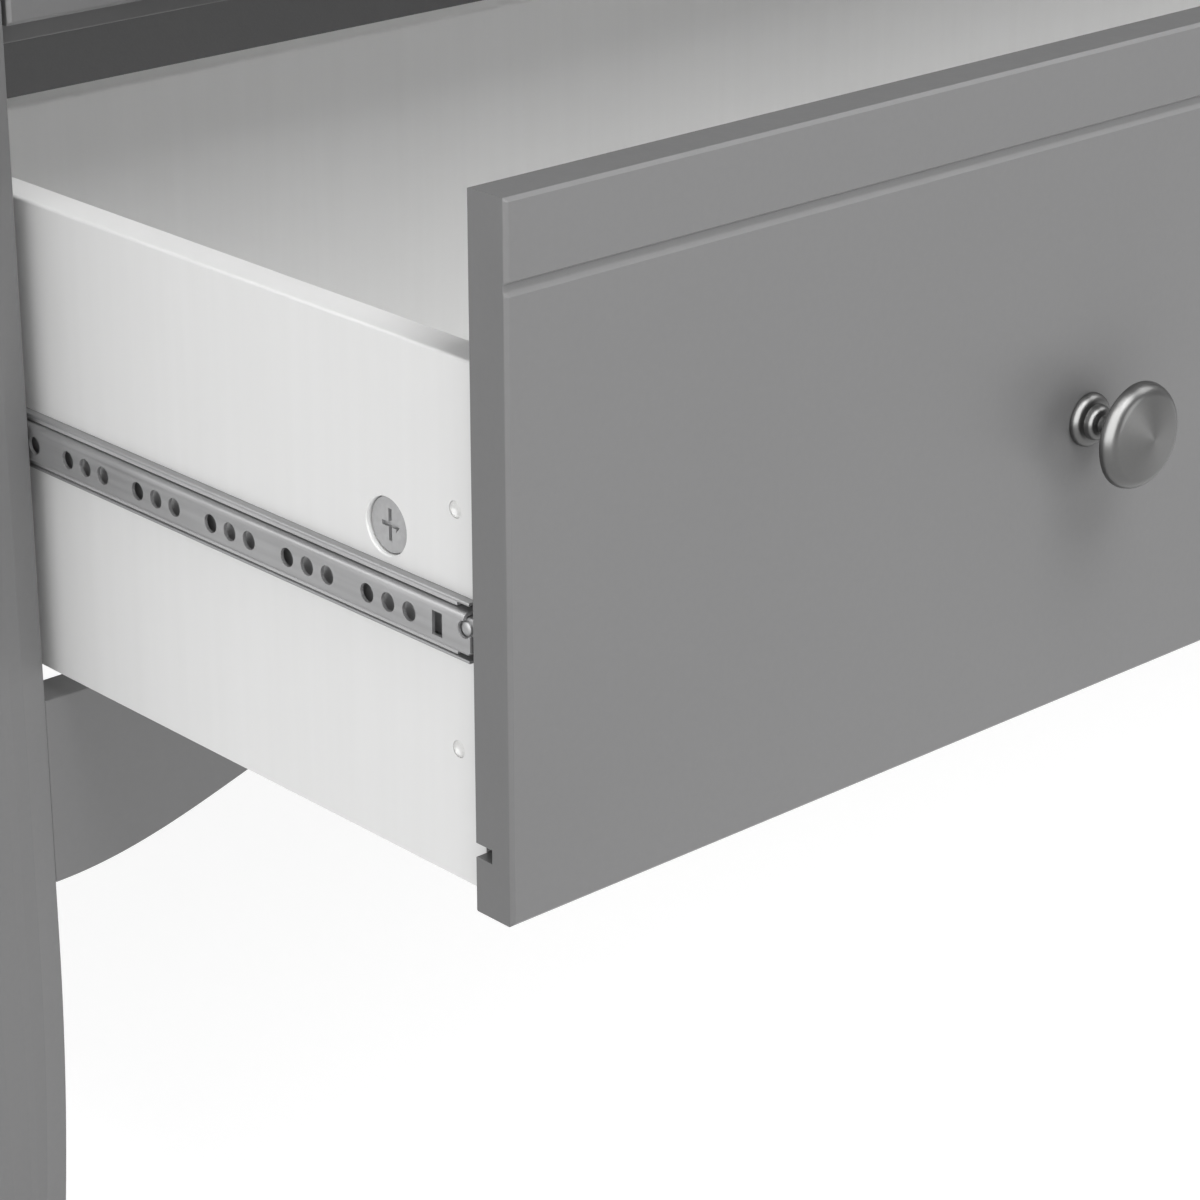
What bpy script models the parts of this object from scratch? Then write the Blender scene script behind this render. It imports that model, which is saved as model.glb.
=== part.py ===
"""A changing table: a chest of three drawers on four legs, with a railed changing tray and a pad on top.

Metres, +Z up. The drawers open towards -Y. The origin is on the floor, under the middle of the whole
object's bounding box. The lower drawer stands open by LOWER_DRAWER_OPEN, the other two are closed.

Every drawer runs on two telescopic ball runners of three members each: a channel on the drawer side, a
channel on the cabinet side, and a perforated slider between them. The slider lies in the drawer channel,
and a carriage on its rear end runs in the cabinet channel.
"""

import math

import bmesh
import bpy

# Clearance between pieces that touch.
GAP = 0.0003

# Drawer fronts.
FRONT_WIDTH = 0.800
FRONT_HEIGHT = 0.211
FRONT_THICKNESS = 0.015
FRONT_PITCH = 0.2158
FRONT_SIDE_GAP = 0.0020
FRONT_CHAMFER = 0.0013
LOWER_FRONT_Z = 0.200
BEAD_BELOW_TOP = 0.0247
BEAD_HALF_WIDTH = 0.0018
BEAD_DEPTH = 0.0016

# Drawer boxes, measured from the front's outer face and underside.
BOX_INSET = 0.004
BOX_HALF_WIDTH = FRONT_WIDTH / 2 - BOX_INSET
BOX_BOTTOM = 0.0041
BOX_HEIGHT = 0.157
BOX_WALL = 0.012
BOX_DEPTH = 0.333
BOX_EDGE_CHAMFER = 0.001
BASE_GROOVE_Z = 0.0170
BASE_GROOVE_HEIGHT = 0.0043
BASE_GROOVE_DEPTH = 0.0068
SIDE_GROOVE_DEPTH = 0.006

# Cam locks that hold the front to the sides.
CAM_FROM_FRONT = 0.0567
CAM_HEIGHT = 0.1033
CAM_HOLE_RADIUS = 0.0086
CAM_HOLE_DEPTH = 0.0095
CAM_RADIUS = 0.0078
CAM_THICKNESS = 0.0078
CAM_SLOT_HEIGHT = 0.0098
CAM_SLOT_LENGTH = 0.0072
CAM_SLOT_WIDTH = 0.0016
CAM_SLOT_DEPTH = 0.003

# Knobs: radius and distance from the front's face, from the rosette to the dome.
KNOB_X = 0.162
KNOB_HEIGHT = 0.0936
KNOB_PROFILE = (
    (0.0087, GAP),
    (0.0087, 0.0018),
    (0.0071, 0.0026),
    (0.0058, 0.0040),
    (0.0040, 0.0050),
    (0.0034, 0.0085),
    (0.0038, 0.0125),
    (0.0062, 0.0155),
    (0.0120, 0.0176),
    (0.0162, 0.0192),
    (0.0170, 0.0208),
    (0.0162, 0.0224),
    (0.0130, 0.0243),
    (0.0070, 0.0258),
    (0.0020, 0.0263),
)
KNOB_SIDES = 16

# Runners: distances out from the drawer side's outer face, and half heights from their centre line.
RUNNER_SPACE = 0.0105
RUNNER_HEIGHT = 0.0831
RUNNER_LENGTH = 0.300
CHANNEL_START = 0.0185
CHANNEL_HALF_HEIGHT = 0.0091
CHANNEL_WALL = 0.0011
CHANNEL_LIP = 0.0014
DRAWER_CHANNEL_SUNK = 0.004
DRAWER_CHANNEL_PROUD = 0.0026
CABINET_CHANNEL_DEPTH = 0.006
CABINET_CHANNEL_START = 0.046
SLIDER_START = 0.0181
SLIDER_LENGTH = 0.298
SLIDER_HALF_HEIGHT = 0.0063
SLIDER_WALL = 0.0011
SLIDER_BACK = -0.0016
SLIDER_FACE = 0.0050
CARRIAGE_LENGTH = 0.040
CARRIAGE_FACE = 0.0087
SLIDER_HOLE_RADIUS = 0.00295
SLIDER_HOLE_SIDES = 6
SLIDER_HOLE_PITCH = 0.00925
SLIDER_GROUP_START = 0.0241
SLIDER_GROUP_PITCH = 0.0365
SLIDER_GROUPS = 6
SLIDER_SLOT_START = 0.0098
SLIDER_SLOT_LENGTH = 0.0043
SLIDER_SLOT_HALF_HEIGHT = 0.0036

# Carcass.
LEG_WIDTH = 0.045
LEG_PROUD = 0.0035
LEG_BEVEL_WIDTH = 0.010
LEG_BEVEL_DEPTH = LEG_PROUD
FOOT_TAPER_HEIGHT = 0.110
FOOT_TAPER = 0.005
FOOT_STEPS = 4
INNER_HALF_WIDTH = FRONT_WIDTH / 2 + FRONT_SIDE_GAP
OUTER_HALF_WIDTH = INNER_HALF_WIDTH + LEG_WIDTH
CARCASS_DEPTH = 0.430
SIDE_PANEL_THICKNESS = 0.015
SIDE_PANEL_BOTTOM = 0.131
BACK_PANEL_THICKNESS = 0.004
BACK_PANEL_Y = 0.411
REAR_RAIL_Y = 0.415
REAR_RAIL_THICKNESS = 0.015
REAR_UPPER_RAIL_HEIGHT = 0.070
RAIL_INSET = 0.0165
RAIL_DEPTH = 0.024
RAIL_THICKNESS = 0.012
RAIL_BELOW_FRONT_TOP = 0.005
TOP_RAIL_THICKNESS = 0.020

# Apron: its lower edge rises from the ends to the middle in an S-curve.
APRON_THICKNESS = 0.015
APRON_BELOW_FRONT = 0.0038
APRON_END_HEIGHT = 0.065
APRON_RISE = 0.030
APRON_CURVE_LENGTH = 0.155
APRON_CURVE_STEPS = 10

# Top panel, changing tray and pad.
TOP_PANEL_Z = 0.8472
TOP_PANEL_THICKNESS = 0.018
TOP_OVERHANG = 0.005
TOP_PANEL_ROUNDING = 0.004
TRAY_INSET = 0.004
TRAY_HEIGHT = 0.085
TRAY_THICKNESS = 0.015
TRAY_ROUNDING = 0.003
PAD_LENGTH = 0.850
PAD_WIDTH = 0.390
PAD_HEIGHT = 0.060
PAD_CORNER_RADIUS = 0.045
PAD_EDGE_ROUNDING = 0.014
PAD_CORNER_STEPS = 5

# Stations. The lower drawer is drawn out, and the carcass stands so that the whole object is centred in Y.
DRAWERS = ("lower", "middle", "upper")
LOWER_DRAWER_OPEN = 0.225
KNOB_PROJECTION = KNOB_PROFILE[-1][1]
FOREMOST = -LOWER_DRAWER_OPEN - KNOB_PROJECTION
REARMOST = CARCASS_DEPTH + TOP_OVERHANG
CARCASS_FRONT_Y = -(FOREMOST + REARMOST) / 2
SIDES = {"left": -1, "right": 1}

# Colours, as linear red, green and blue, with roughness and metallic.
PAINTED_GREY = ((0.270, 0.270, 0.272), 0.42, 0.0)
WHITE_LAMINATE = ((0.760, 0.760, 0.755), 0.35, 0.0)
SATIN_NICKEL = ((0.560, 0.545, 0.520), 0.32, 1.0)
ZINC_STEEL = ((0.600, 0.610, 0.620), 0.30, 1.0)
DIE_CAST_ZINC = ((0.480, 0.485, 0.490), 0.45, 1.0)
PAD_FABRIC = ((0.820, 0.815, 0.800), 0.85, 0.0)


def clear_scene():
    for obj in list(bpy.data.objects):
        bpy.data.objects.remove(obj, do_unlink=True)


def make_material(name, look):
    colour, roughness, metallic = look
    material = bpy.data.materials.new(name)
    material.use_nodes = True
    shader = material.node_tree.nodes["Principled BSDF"]
    shader.inputs["Base Color"].default_value = (*colour, 1.0)
    shader.inputs["Roughness"].default_value = roughness
    shader.inputs["Metallic"].default_value = metallic
    material.diffuse_color = (*colour, 1.0)
    return material


def add_pivot(name, location):
    """An empty that a rigid group hangs from."""
    pivot = bpy.data.objects.new(name, None)
    pivot.empty_display_size = 0.05
    pivot.location = location
    bpy.context.scene.collection.objects.link(pivot)
    return pivot


def add_object(name, bm, parent, look=None, location=(0, 0, 0)):
    mesh = bpy.data.meshes.new(name)
    bm.to_mesh(mesh)
    bm.free()
    if look is not None:
        mesh.materials.append(make_material(name, look))
    obj = bpy.data.objects.new(name, mesh)
    obj.parent = parent
    obj.location = location
    bpy.context.scene.collection.objects.link(obj)
    return obj


def loft(rings):
    """A closed body through rings of equally many points, with flat ends."""
    bm = bmesh.new()
    loops = [[bm.verts.new(point) for point in ring] for ring in rings]
    for low, high in zip(loops, loops[1:]):
        for i, corner in enumerate(low):
            j = (i + 1) % len(low)
            bm.faces.new((corner, low[j], high[j], high[i]))
    bm.faces.new(loops[0])
    bm.faces.new(reversed(loops[-1]))
    bmesh.ops.recalc_face_normals(bm, faces=bm.faces)
    return bm


def extrude_x(outline, start, end):
    return loft([[(x, y, z) for y, z in outline] for x in (start, end)])


def extrude_y(outline, start, end):
    return loft([[(x, y, z) for x, z in outline] for y in (start, end)])


def box(low, high):
    (x0, y0, z0), (x1, y1, z1) = low, high
    return extrude_x([(y0, z0), (y1, z0), (y1, z1), (y0, z1)], x0, x1)


def join(*parts):
    """One bmesh from several, each of which stays a closed body."""
    whole = bmesh.new()
    for part in parts:
        mesh = bpy.data.meshes.new("piece")
        part.to_mesh(mesh)
        part.free()
        whole.from_mesh(mesh)
        bpy.data.meshes.remove(mesh)
    return whole


def disc_along_x(centre, radius, sides, x0, x1):
    """A short cylinder along X about the centre (y, z)."""
    turns = [2 * math.pi * i / sides for i in range(sides)]
    outline = [(centre[0] + radius * math.cos(t), centre[1] + radius * math.sin(t)) for t in turns]
    return extrude_x(outline, x0, x1)


def combine(obj, other_bm, operation):
    """A Boolean with a hidden helper."""
    helper = add_object(f"{obj.name}_{operation.lower()}_helper", other_bm, obj.parent, location=obj.location)
    helper.hide_render = True
    helper.display_type = "WIRE"
    modifier = obj.modifiers.new(operation.title(), "BOOLEAN")
    modifier.operation = operation
    modifier.solver = "EXACT"
    modifier.object = helper


def round_edges(obj, width):
    bevel = obj.modifiers.new("Rounded edges", "BEVEL")
    bevel.width = width
    bevel.segments = 2
    bevel.limit_method = "ANGLE"


def smooth(obj, sharp_angle=40):
    obj.data.shade_smooth()
    obj.data.set_sharp_from_angle(angle=math.radians(sharp_angle))


def side_x(side, u):
    """X at the distance u out from the drawer side's outer face."""
    return SIDES[side] * (BOX_HALF_WIDTH + u)


# ---- Drawers ----


def drawer_front_outline():
    """Its section in Y and Z, with chamfered face edges, the bead groove and the groove for the base."""
    bead_z = FRONT_HEIGHT - BEAD_BELOW_TOP
    groove_y = FRONT_THICKNESS - BASE_GROOVE_DEPTH
    return [
        (FRONT_CHAMFER, 0),
        (0, FRONT_CHAMFER),
        (0, bead_z - BEAD_HALF_WIDTH),
        (BEAD_DEPTH, bead_z - BEAD_HALF_WIDTH / 2),
        (BEAD_DEPTH, bead_z + BEAD_HALF_WIDTH / 2),
        (0, bead_z + BEAD_HALF_WIDTH),
        (0, FRONT_HEIGHT - FRONT_CHAMFER),
        (FRONT_CHAMFER, FRONT_HEIGHT),
        (FRONT_THICKNESS, FRONT_HEIGHT),
        (FRONT_THICKNESS, BASE_GROOVE_Z + BASE_GROOVE_HEIGHT),
        (groove_y, BASE_GROOVE_Z + BASE_GROOVE_HEIGHT),
        (groove_y, BASE_GROOVE_Z),
        (FRONT_THICKNESS, BASE_GROOVE_Z),
        (FRONT_THICKNESS, 0),
    ]


def add_drawer_side(name, side, pivot):
    """A box side with an inner groove for the base, an outer one for the runner and a blind cam lock hole."""
    sign = SIDES[side]
    outer = BOX_HALF_WIDTH
    inner = BOX_HALF_WIDTH - BOX_WALL
    top = BOX_BOTTOM + BOX_HEIGHT
    groove_floor = outer - DRAWER_CHANNEL_SUNK - GAP
    groove_bottom = RUNNER_HEIGHT - CHANNEL_HALF_HEIGHT - GAP
    groove_top = RUNNER_HEIGHT + CHANNEL_HALF_HEIGHT + GAP
    outline = [
        (outer, BOX_BOTTOM),
        (outer, groove_bottom),
        (groove_floor, groove_bottom),
        (groove_floor, groove_top),
        (outer, groove_top),
        (outer, top - BOX_EDGE_CHAMFER),
        (outer - BOX_EDGE_CHAMFER, top),
        (inner, top),
        (inner, BASE_GROOVE_Z + BASE_GROOVE_HEIGHT),
        (inner + SIDE_GROOVE_DEPTH, BASE_GROOVE_Z + BASE_GROOVE_HEIGHT),
        (inner + SIDE_GROOVE_DEPTH, BASE_GROOVE_Z),
        (inner, BASE_GROOVE_Z),
        (inner, BOX_BOTTOM),
    ]
    outline = [(sign * x, z) for x, z in outline]
    obj = add_object(name, extrude_y(outline, FRONT_THICKNESS + GAP, BOX_DEPTH), pivot, WHITE_LAMINATE)
    hole_ends = (side_x(side, -CAM_HOLE_DEPTH), side_x(side, 0.002))
    hole = disc_along_x((CAM_FROM_FRONT, CAM_HEIGHT), CAM_HOLE_RADIUS, 20, *hole_ends)
    combine(obj, hole, "DIFFERENCE")


def add_drawer_back(name, pivot):
    """Between the sides, with a groove for the base."""
    front = BOX_DEPTH - BOX_WALL
    top = BOX_BOTTOM + BOX_HEIGHT
    outline = [
        (BOX_DEPTH, BOX_BOTTOM),
        (BOX_DEPTH, top),
        (front, top),
        (front, BASE_GROOVE_Z + BASE_GROOVE_HEIGHT),
        (front + SIDE_GROOVE_DEPTH, BASE_GROOVE_Z + BASE_GROOVE_HEIGHT),
        (front + SIDE_GROOVE_DEPTH, BASE_GROOVE_Z),
        (front, BASE_GROOVE_Z),
        (front, BOX_BOTTOM),
    ]
    half = BOX_HALF_WIDTH - BOX_WALL - GAP
    add_object(name, extrude_x(outline, -half, half), pivot, WHITE_LAMINATE)


def add_drawer_base(name, pivot):
    """A thin panel that reaches into the grooves of all four walls."""
    half = BOX_HALF_WIDTH - BOX_WALL + SIDE_GROOVE_DEPTH - GAP
    front = FRONT_THICKNESS - BASE_GROOVE_DEPTH + GAP
    back = BOX_DEPTH - BOX_WALL + SIDE_GROOVE_DEPTH - GAP
    low = (-half, front, BASE_GROOVE_Z + GAP)
    high = (half, back, BASE_GROOVE_Z + BASE_GROOVE_HEIGHT - GAP)
    add_object(name, box(low, high), pivot, WHITE_LAMINATE)


def add_knob(name, x, pivot):
    """A turned mushroom knob on a stepped rosette, its axis along Y."""
    turns = [2 * math.pi * i / KNOB_SIDES for i in range(KNOB_SIDES)]
    rings = [
        [(radius * math.cos(t), -distance, radius * math.sin(t)) for t in turns]
        for radius, distance in KNOB_PROFILE
    ]
    smooth(add_object(name, loft(rings), pivot, SATIN_NICKEL, (x, 0, KNOB_HEIGHT)))


def add_cam_lock(name, side, pivot):
    """A disc with a cross slot, in the blind hole of the drawer side."""
    centre = (CAM_FROM_FRONT, CAM_HEIGHT)
    inner = -CAM_HOLE_DEPTH + GAP
    outer = inner + CAM_THICKNESS
    disc = disc_along_x(centre, CAM_RADIUS, 20, side_x(side, inner), side_x(side, outer))
    obj = add_object(name, disc, pivot, DIE_CAST_ZINC)
    half_width = CAM_SLOT_WIDTH / 2
    arm = [(CAM_SLOT_LENGTH / 2, half_width), (half_width, half_width), (half_width, CAM_SLOT_HEIGHT / 2)]
    half = arm + [(-y, z) for y, z in reversed(arm)]
    cross = half + [(-y, -z) for y, z in half]
    outline = [(centre[0] + y, centre[1] + z) for y, z in cross]
    slot = extrude_x(outline, side_x(side, outer - CAM_SLOT_DEPTH), side_x(side, outer + 0.001))
    combine(obj, slot, "DIFFERENCE")


# ---- Runners ----


def channel_outline(side, base_u, mouth_u):
    """A channel with lips turned in at its mouth; base_u is its back and mouth_u its open side."""
    out = 1 if mouth_u > base_u else -1
    half = [
        (base_u, CHANNEL_HALF_HEIGHT),
        (mouth_u, CHANNEL_HALF_HEIGHT),
        (mouth_u, CHANNEL_HALF_HEIGHT - CHANNEL_LIP),
        (mouth_u - out * CHANNEL_WALL, CHANNEL_HALF_HEIGHT - CHANNEL_LIP),
        (mouth_u - out * CHANNEL_WALL, CHANNEL_HALF_HEIGHT - CHANNEL_WALL),
        (base_u + out * CHANNEL_WALL, CHANNEL_HALF_HEIGHT - CHANNEL_WALL),
    ]
    outline = half + [(u, -v) for u, v in reversed(half)]
    return [(side_x(side, u), RUNNER_HEIGHT + v) for u, v in outline]


def add_drawer_channel(name, side, pivot):
    outline = channel_outline(side, -DRAWER_CHANNEL_SUNK, DRAWER_CHANNEL_PROUD)
    add_object(name, extrude_y(outline, CHANNEL_START, CHANNEL_START + RUNNER_LENGTH), pivot, ZINC_STEEL)


def add_cabinet_channel(name, side, front_z, carcass):
    back = RUNNER_SPACE - GAP
    outline = channel_outline(side, back, back - CABINET_CHANNEL_DEPTH)
    outline = [(x, z + front_z) for x, z in outline]
    end = CABINET_CHANNEL_START + RUNNER_LENGTH
    add_object(name, extrude_y(outline, CABINET_CHANNEL_START, end), carcass, ZINC_STEEL)


def slider_openings(side):
    """The slot at the slider's front end and its groups of three holes, as one cutter."""
    ends = (side_x(side, SLIDER_FACE - 2 * SLIDER_WALL), side_x(side, SLIDER_FACE + 0.001))
    slot_start = SLIDER_START + SLIDER_SLOT_START
    slot_low = (min(ends), slot_start, RUNNER_HEIGHT - SLIDER_SLOT_HALF_HEIGHT)
    slot_high = (max(ends), slot_start + SLIDER_SLOT_LENGTH, RUNNER_HEIGHT + SLIDER_SLOT_HALF_HEIGHT)
    cutters = [box(slot_low, slot_high)]
    for group in range(SLIDER_GROUPS):
        for hole in range(3):
            offset = SLIDER_GROUP_START + group * SLIDER_GROUP_PITCH + hole * SLIDER_HOLE_PITCH
            centre = (SLIDER_START + offset, RUNNER_HEIGHT)
            cutters.append(disc_along_x(centre, SLIDER_HOLE_RADIUS, SLIDER_HOLE_SIDES, *ends))
    return join(*cutters)


def add_slider(name, side, pivot):
    """A U section with its web outward and a solid carriage on the web's rear end."""
    end = SLIDER_START + SLIDER_LENGTH
    half = [
        (SLIDER_FACE, SLIDER_HALF_HEIGHT),
        (SLIDER_BACK, SLIDER_HALF_HEIGHT),
        (SLIDER_BACK, SLIDER_HALF_HEIGHT - SLIDER_WALL),
        (SLIDER_FACE - SLIDER_WALL, SLIDER_HALF_HEIGHT - SLIDER_WALL),
    ]
    outline = half + [(u, -v) for u, v in reversed(half)]
    outline = [(side_x(side, u), RUNNER_HEIGHT + v) for u, v in outline]
    obj = add_object(name, extrude_y(outline, SLIDER_START, end), pivot, ZINC_STEEL)
    x_ends = (side_x(side, SLIDER_FACE - SLIDER_WALL / 2), side_x(side, CARRIAGE_FACE))
    low = (min(x_ends), end - CARRIAGE_LENGTH, RUNNER_HEIGHT - SLIDER_HALF_HEIGHT + GAP)
    high = (max(x_ends), end - GAP, RUNNER_HEIGHT + SLIDER_HALF_HEIGHT - GAP)
    combine(obj, box(low, high), "UNION")
    combine(obj, slider_openings(side), "DIFFERENCE")


# ---- Carcass ----


def leg_ring(z, x_side, y_side):
    """The leg's section at height z, with bevelled outer arrises and its inner faces drawn in at the foot."""
    fade = max(0, 1 - z / FOOT_TAPER_HEIGHT)
    taper = FOOT_TAPER * fade**2
    width = LEG_WIDTH
    section = [
        (taper, width - taper),
        (taper, LEG_BEVEL_DEPTH),
        (taper + LEG_BEVEL_WIDTH, 0),
        (width - LEG_BEVEL_WIDTH, 0),
        (width, LEG_BEVEL_DEPTH),
        (width, width - taper),
    ]
    face_y = -LEG_PROUD if y_side < 0 else CARCASS_DEPTH
    return [(x_side * (INNER_HALF_WIDTH + a), face_y - y_side * b, z) for a, b in section]


def add_leg(name, x_side, y_side, carcass):
    heights = [FOOT_TAPER_HEIGHT * i / FOOT_STEPS for i in range(FOOT_STEPS + 1)]
    heights.append(TOP_PANEL_Z - GAP)
    add_object(name, loft([leg_ring(z, x_side, y_side) for z in heights]), carcass, PAINTED_GREY)


def apron_height(distance):
    """The apron's height at this distance from its end."""
    along = min(distance / APRON_CURVE_LENGTH, 1)
    return APRON_END_HEIGHT - APRON_RISE * (1 - math.cos(math.pi * along)) / 2


def add_apron(carcass):
    half = INNER_HALF_WIDTH - GAP
    top = LOWER_FRONT_Z - APRON_BELOW_FRONT
    steps = [APRON_CURVE_LENGTH * i / APRON_CURVE_STEPS for i in range(APRON_CURVE_STEPS + 1)]
    curve = [(half - step, top - apron_height(step)) for step in steps]
    outline = [(-half, top), (half, top)] + curve + [(-x, z) for x, z in reversed(curve)]
    add_object("front_apron", extrude_y(outline, 0, APRON_THICKNESS), carcass, PAINTED_GREY)


def add_front_rails(carcass):
    """Flat rails behind the gaps between the drawer fronts, and a deeper one under the top panel."""
    half = INNER_HALF_WIDTH - GAP
    for index, name in enumerate(("lower_front_rail", "upper_front_rail")):
        z = LOWER_FRONT_Z + index * FRONT_PITCH + FRONT_HEIGHT - RAIL_BELOW_FRONT_TOP
        rail = box((-half, RAIL_INSET, z), (half, RAIL_INSET + RAIL_DEPTH, z + RAIL_THICKNESS))
        add_object(name, rail, carcass, PAINTED_GREY)
    top = TOP_PANEL_Z - GAP
    rail = box((-half, RAIL_INSET, top - TOP_RAIL_THICKNESS), (half, RAIL_INSET + RAIL_DEPTH, top))
    add_object("top_front_rail", rail, carcass, PAINTED_GREY)


def add_panels(carcass):
    """The side panels between the legs, and the back panel with the two rails behind it."""
    y_ends = (LEG_WIDTH - LEG_PROUD + GAP, CARCASS_DEPTH - LEG_WIDTH - GAP)
    inner = BOX_HALF_WIDTH + RUNNER_SPACE
    for side, sign in SIDES.items():
        xs = sorted((sign * inner, sign * (inner + SIDE_PANEL_THICKNESS)))
        panel = box((xs[0], y_ends[0], SIDE_PANEL_BOTTOM), (xs[1], y_ends[1], TOP_PANEL_Z - GAP))
        add_object(f"{side}_side_panel", panel, carcass, PAINTED_GREY)
    half = INNER_HALF_WIDTH - GAP
    top = TOP_PANEL_Z - GAP
    apron_top = LOWER_FRONT_Z - APRON_BELOW_FRONT
    back_y = (BACK_PANEL_Y, BACK_PANEL_Y + BACK_PANEL_THICKNESS - GAP)
    back = box((-half, back_y[0], SIDE_PANEL_BOTTOM), (half, back_y[1], top))
    add_object("back_panel", back, carcass, PAINTED_GREY)
    rear_rails = {
        "rear_lower_rail": (SIDE_PANEL_BOTTOM, apron_top),
        "rear_upper_rail": (top - REAR_UPPER_RAIL_HEIGHT, top),
    }
    for name, (low, high) in rear_rails.items():
        rail = box((-half, REAR_RAIL_Y, low), (half, REAR_RAIL_Y + REAR_RAIL_THICKNESS, high))
        add_object(name, rail, carcass, PAINTED_GREY)


def add_top(carcass):
    """The top panel and, on it, the four rails of the changing tray."""
    half = OUTER_HALF_WIDTH + TOP_OVERHANG
    low = (-half, -LEG_PROUD - TOP_OVERHANG, TOP_PANEL_Z)
    high = (half, CARCASS_DEPTH + TOP_OVERHANG, TOP_PANEL_Z + TOP_PANEL_THICKNESS)
    panel = add_object("top_panel", box(low, high), carcass, PAINTED_GREY)
    round_edges(panel, TOP_PANEL_ROUNDING)
    x_outer = half - TRAY_INSET
    y_outer = (low[1] + TRAY_INSET, high[1] - TRAY_INSET)
    z_ends = (high[2] + GAP, high[2] + GAP + TRAY_HEIGHT)
    y_inner = (y_outer[0] + TRAY_THICKNESS, y_outer[1] - TRAY_THICKNESS)
    x_inner = x_outer - TRAY_THICKNESS
    rails = {
        "tray_front_rail": ((-x_outer, y_outer[0]), (x_outer, y_inner[0])),
        "tray_rear_rail": ((-x_outer, y_inner[1]), (x_outer, y_outer[1])),
        "tray_left_rail": ((-x_outer, y_inner[0] + GAP), (-x_inner, y_inner[1] - GAP)),
        "tray_right_rail": ((x_inner, y_inner[0] + GAP), (x_outer, y_inner[1] - GAP)),
    }
    for name, (near, far) in rails.items():
        rail = add_object(name, box((*near, z_ends[0]), (*far, z_ends[1])), carcass, PAINTED_GREY)
        round_edges(rail, TRAY_ROUNDING)


def pad_ring(inset, z):
    """The pad's outline with round corners, drawn in by the inset."""
    middle_y = (CARCASS_DEPTH - LEG_PROUD) / 2
    radius = PAD_CORNER_RADIUS - inset
    x_centre = PAD_LENGTH / 2 - PAD_CORNER_RADIUS
    y_centre = PAD_WIDTH / 2 - PAD_CORNER_RADIUS
    ring = []
    for quarter, (x_sign, y_sign) in enumerate(((1, 1), (-1, 1), (-1, -1), (1, -1))):
        for step in range(PAD_CORNER_STEPS + 1):
            turn = (quarter + step / PAD_CORNER_STEPS) * math.pi / 2
            x = x_sign * x_centre + radius * math.cos(turn)
            y = y_sign * y_centre + radius * math.sin(turn)
            ring.append((x, middle_y + y, z))
    return ring


def add_pad(carcass):
    bottom = TOP_PANEL_Z + TOP_PANEL_THICKNESS + GAP
    top = bottom + PAD_HEIGHT
    rings = [
        pad_ring(PAD_EDGE_ROUNDING, bottom),
        pad_ring(0, bottom + PAD_EDGE_ROUNDING),
        pad_ring(0, top - PAD_EDGE_ROUNDING),
        pad_ring(PAD_EDGE_ROUNDING, top),
    ]
    smooth(add_object("changing_pad", loft(rings), carcass, PAD_FABRIC), sharp_angle=60)


# ---- The whole ----


def build_carcass():
    carcass = add_pivot("carcass_origin", (0, CARCASS_FRONT_Y, 0))
    for side, x_side in SIDES.items():
        add_leg(f"front_{side}_leg", x_side, -1, carcass)
        add_leg(f"rear_{side}_leg", x_side, 1, carcass)
    add_apron(carcass)
    add_front_rails(carcass)
    add_panels(carcass)
    add_top(carcass)
    add_pad(carcass)
    return carcass


def build_drawer(level, name, carcass):
    """One drawer with its runners. Drawer and sliders are both drawn out by the opening."""
    front_z = LOWER_FRONT_Z + level * FRONT_PITCH
    opening = LOWER_DRAWER_OPEN if name == "lower" else 0
    location = (0, CARCASS_FRONT_Y - opening, front_z)
    drawer = add_pivot(f"{name}_drawer_slide", location)
    sliders = add_pivot(f"{name}_slider_slide", location)
    front = extrude_x(drawer_front_outline(), -FRONT_WIDTH / 2, FRONT_WIDTH / 2)
    add_object(f"{name}_drawer_front", front, drawer, PAINTED_GREY)
    add_drawer_back(f"{name}_drawer_back", drawer)
    add_drawer_base(f"{name}_drawer_base", drawer)
    for side, sign in SIDES.items():
        add_drawer_side(f"{name}_drawer_{side}_side", side, drawer)
        add_knob(f"{name}_{side}_knob", sign * KNOB_X, drawer)
        add_drawer_channel(f"{name}_{side}_drawer_channel", side, drawer)
        add_slider(f"{name}_{side}_slider", side, sliders)
        add_cabinet_channel(f"{name}_{side}_cabinet_channel", side, front_z, carcass)
        if name == "lower":
            add_cam_lock(f"{name}_{side}_cam_lock", side, drawer)


def main():
    clear_scene()
    carcass = build_carcass()
    for level, name in enumerate(DRAWERS):
        build_drawer(level, name, carcass)


main()
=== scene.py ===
"""How the changing table looks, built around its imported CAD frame. Metres, +Z up, the drawers open towards -Y."""

import math

import bmesh
import bpy
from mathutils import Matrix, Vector, noise
from mathutils.bvhtree import BVHTree


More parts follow.
